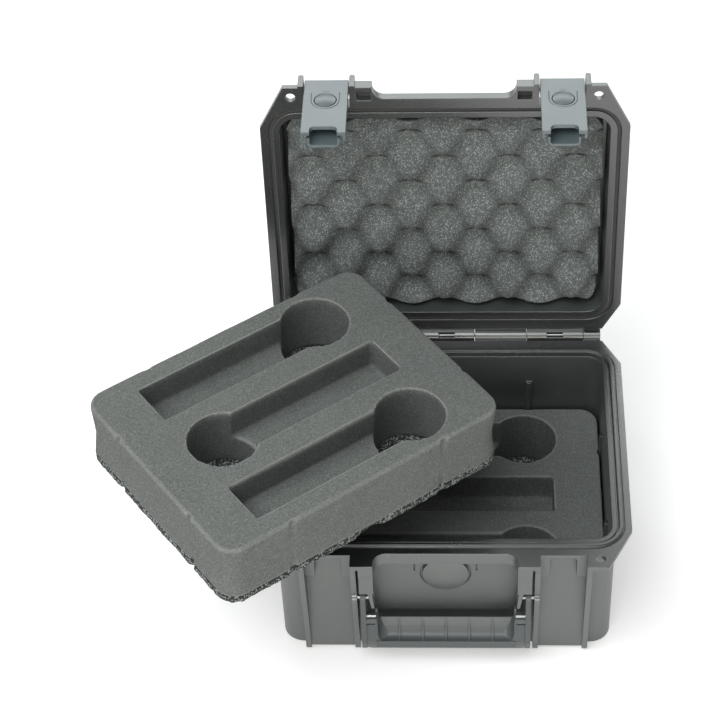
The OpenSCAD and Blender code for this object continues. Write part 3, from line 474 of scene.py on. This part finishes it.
# Painted light: how much the colour deep in a valley is raised.
VALLEY_PAINTED_LIGHT = 0.28
CREASE_BELOW = 18.5 * MM
CREASE_HALF = 8.5 * MM
CREASE_WIDE = 1.5 * MM
CREASE_DEEP = 3.5 * MM
CREASE_BOW = 1.2 * MM
PEAK_SAG = 3.5 * MM


def bend(x, y):
    """Rounds the corners of a rectangular grid."""
    a = (abs(x) - FOAM_HALF[0] + CORNER) / CORNER
    b = (abs(y) - FOAM_HALF[1] + CORNER) / CORNER
    if a <= 0 or b <= 0:
        return x, y
    fit = max(a, b) / math.hypot(a, b)
    return (math.copysign(FOAM_HALF[0] - CORNER + CORNER * a * fit, x),
            math.copysign(FOAM_HALF[1] - CORNER + CORNER * b * fit, y))


def crease(x, y):
    """How strong the crease under the nearest peak is at a point, 0..1."""
    near = 0.0
    for half in (0.0, 0.5):
        across = (x - WAVE_AT[0]) / WAVE[0] - half
        along = (y - CREASE_BELOW - WAVE_AT[1]) / WAVE[1] - half
        dx = (across - round(across)) * WAVE[0]
        dy = (along - round(along)) * WAVE[1] + CREASE_BOW * (dx / CREASE_HALF) ** 2
        near = max(near, math.exp(-(dx / CREASE_HALF) ** 4 - (dy / CREASE_WIDE) ** 2))
    return near


def egg_crate():
    """The foam's front skin and sides, in the closed case's coordinates."""
    columns = int(2 * FOAM_HALF[0] / STEP)
    rows = int(2 * FOAM_HALF[1] / STEP)
    points, folds, painted_valley_light = [], [], []
    for j in range(rows + 1):
        for i in range(columns + 1):
            x, y = bend(FOAM_HALF[0] * (2 * i / columns - 1), FOAM_HALF[1] * (2 * j / rows - 1))
            wave = (math.cos(2 * math.pi * (x - WAVE_AT[0]) / WAVE[0])
                    * math.cos(2 * math.pi * (y - WAVE_AT[1]) / WAVE[1]))
            inner = min(1.0, (FOAM_HALF[1] - abs(y)) / EDGE_FADE)
            fold = crease(x, y) * inner
            folds.append(fold)
            painted_valley_light.append(VALLEY_PAINTED_LIGHT * (1 - wave))
            points.append((x, y + PEAK_SAG * max(wave, 0.0) * inner,
                           WAVE_MIDDLE - WAVE_HALF * wave + CREASE_DEEP * fold))
    wide = columns + 1
    faces = [(j * wide + i, (j + 1) * wide + i, (j + 1) * wide + i + 1, j * wide + i + 1)
             for j in range(rows) for i in range(columns)]
    rim = ([i for i in range(columns)] + [j * wide + columns for j in range(rows)]
           + [rows * wide + columns - i for i in range(columns)] + [(rows - j) * wide for j in range(rows)])
    ring = rim
    for level in range(1, SIDE_ROWS + 1):
        start = len(points)
        for index in rim:
            x, y, z = points[index]
            points.append((x, y, z + (FOAM_BACK - z) * level / SIDE_ROWS))
        fresh = list(range(start, start + len(rim)))
        for k in range(len(rim)):
            n = (k + 1) % len(rim)
            faces.append((ring[k], ring[n], fresh[n], fresh[k]))
        ring = fresh
    faces.append(tuple(reversed(ring)))
    mesh = bpy.data.meshes.new("egg_crate_foam")
    mesh.from_pydata(points, [], faces)
    mesh.update()
    for label, values in (("fold", folds), ("valley", painted_valley_light)):
        spare = [0.0] * (len(points) - len(values))
        mesh.attributes.new(label, "FLOAT", "POINT").data.foreach_set("value", values + spare)
    return mesh


# %% [markdown]
# The grid was made in the closed lid, where its numbers are easy to read. Noise loosens
# it, and one turn about the hinge's axis carries it up into the open lid.

# %% Lining in the open lid
LID_WAVES = [(30 * MM, 0.4 * MM), (6 * MM, 0.12 * MM), (2.2 * MM, 0.08 * MM)]
LID_SEED = 21
HINGE = Vector((0, 117.6, 115.75)) * MM
LID_OPEN = math.radians(92)
lid_lining = bpy.data.objects.new("egg_crate_lining", egg_crate())
bpy.context.scene.collection.objects.link(lid_lining)
push(lid_lining, LID_WAVES, LID_SEED)
lid_lining.data.transform(Matrix.Translation(HINGE) @ Matrix.Rotation(-LID_OPEN, 4, "X")
                          @ Matrix.Translation(-HINGE))
soften(lid_lining)
dress(lid_lining, "lid", "lid_foam", lid_finish)

# %% [markdown]
# ## The floor
# The photograph has a white ground with a faint soft shadow. A white plane under strong
# lamps would do, but it would throw too much light back up. So the floor gets a pale
# diffuse colour plus a glow that only the camera and reflections see: where nothing
# shades it, the sum is white, and under the case it stays darker. Further out the glow
# takes over, so the ground runs into the white world without an edge.

# %% Floor
NEAR_GLOW = 0.36
NEAR_RADIUS, FAR_RADIUS = 0.6, 1.8
FLOOR_HALF = 3.0
FLOOR_DROP = 0.2 * MM


def floor_finish():
    """Pale paint plus a glow for the camera and reflections, which grows with the distance."""
    material = bpy.data.materials.new("studio floor")
    material.use_nodes = True
    tree = material.node_tree
    tree.nodes.clear()
    path = add(tree, "LightPath")
    through = math_node(tree, "MAXIMUM", path.outputs["Is Glossy Ray"], path.outputs["Is Transmission Ray"])
    seen = math_node(tree, "MAXIMUM", path.outputs["Is Camera Ray"], through)
    paint = add(tree, "BsdfDiffuse", {"Color": (0.80, 0.80, 0.80, 1)})
    here = add(tree, "TexCoord").outputs["Object"]
    away = add(tree, "VectorMath", {0: here}, operation="LENGTH").outputs["Value"]
    lift = add(tree, "MapRange", {"Value": away, "From Min": NEAR_RADIUS, "From Max": FAR_RADIUS,
                                  "To Min": NEAR_GLOW, "To Max": 1.0}).outputs[0]
    glow = add(tree, "Emission", {"Color": (1, 1, 1, 1), "Strength": math_node(tree, "MULTIPLY", seen, lift)})
    both = add(tree, "AddShader", {0: paint.outputs[0], 1: glow.outputs[0]})
    out = tree.nodes.new("ShaderNodeOutputMaterial")
    tree.links.new(both.outputs[0], out.inputs["Surface"])
    return material


floor_mesh = bpy.data.meshes.new("floor")
corners = [(FLOOR_HALF * i, FLOOR_HALF * j, 0) for i, j in ((-1, -1), (1, -1), (1, 1), (-1, 1))]
floor_mesh.from_pydata(corners, [], [(0, 1, 2, 3)])
floor = bpy.data.objects.new("floor", floor_mesh)
bpy.context.scene.collection.objects.link(floor)
floor.location.z = -FLOOR_DROP
floor_mesh.materials.append(floor_finish())
print("floor is", 2 * FLOOR_HALF, "m wide")

# %% [markdown]
# ## The world
# A studio's white walls do three jobs at once, and one brightness can't suit them all.
# The background has to be pure white, reflections a little less, and the light on the
# case much less, or every shadow fades. The Light Path node tells these rays apart.

# %% World
SKY_LIGHT, SKY_GLOSS, SKY_SEEN = 0.30, 0.78, 1.0
world = bpy.data.worlds.new("studio")
bpy.context.scene.world = world
world.use_nodes = True
sky = world.node_tree
sky.nodes.clear()
path = add(sky, "LightPath")
plain = math_node(sky, "MAXIMUM", path.outputs["Is Camera Ray"], path.outputs["Is Transmission Ray"])
direct = add(sky, "MapRange", {"Value": plain, "To Min": SKY_LIGHT, "To Max": SKY_SEEN}).outputs[0]
glossy = math_node(sky, "MULTIPLY", path.outputs["Is Glossy Ray"], SKY_GLOSS)
light = add(sky, "Background", {"Color": (1, 1, 1, 1), "Strength": math_node(sky, "MAXIMUM", direct, glossy)})
out = sky.nodes.new("ShaderNodeOutputWorld")
sky.links.new(light.outputs[0], out.inputs["Surface"])
print("world light:", SKY_LIGHT, "on surfaces,", SKY_GLOSS, "in reflections")

# %% [markdown]
# ## The lamps
# A product photographer lights dark plastic by what it mirrors. A softbox behind the
# case makes the lid's upper edges and the latches shine, and the lid hides it from the
# rest. A broad one at the upper left lights the foam, and a low card in front gives the
# upright fronts something pale to reflect.

# %% Lamps
def lamp(name, at, aim, size, power, colour):
    """A rectangular area lamp aimed at a point."""
    data = bpy.data.lights.new(name, "AREA")
    data.color = colour
    data.shape = "RECTANGLE"
    data.size, data.size_y = size
    data.energy = power
    obj = bpy.data.objects.new(name, data)
    bpy.context.scene.collection.objects.link(obj)
    obj.location = at
    obj.rotation_euler = (Vector(aim) - Vector(at)).to_track_quat("-Z", "Y").to_euler()
    print(name, power, "W")


lamp("back softbox", (0.0, 1.53, 1.31), (0, 0.12, 0.36), (2.0, 0.66), 14, (0.95, 1.0, 1.0))
lamp("left softbox", (-0.55, -0.60, 1.65), (0, 0.0, 0.15), (1.6, 1.2), 31, (0.98, 1.0, 0.99))
lamp("low front card", (0.1, -1.6, 0.22), (0, 0.0, 0.16), (2.4, 0.40), 17, (1.0, 0.95, 0.88))

# %% [markdown]
# ## Finish
# The view transform is Standard, so the white ground comes out white. A filmic one would grey it.

# %% Finish
bpy.context.scene.view_settings.view_transform = "Standard"
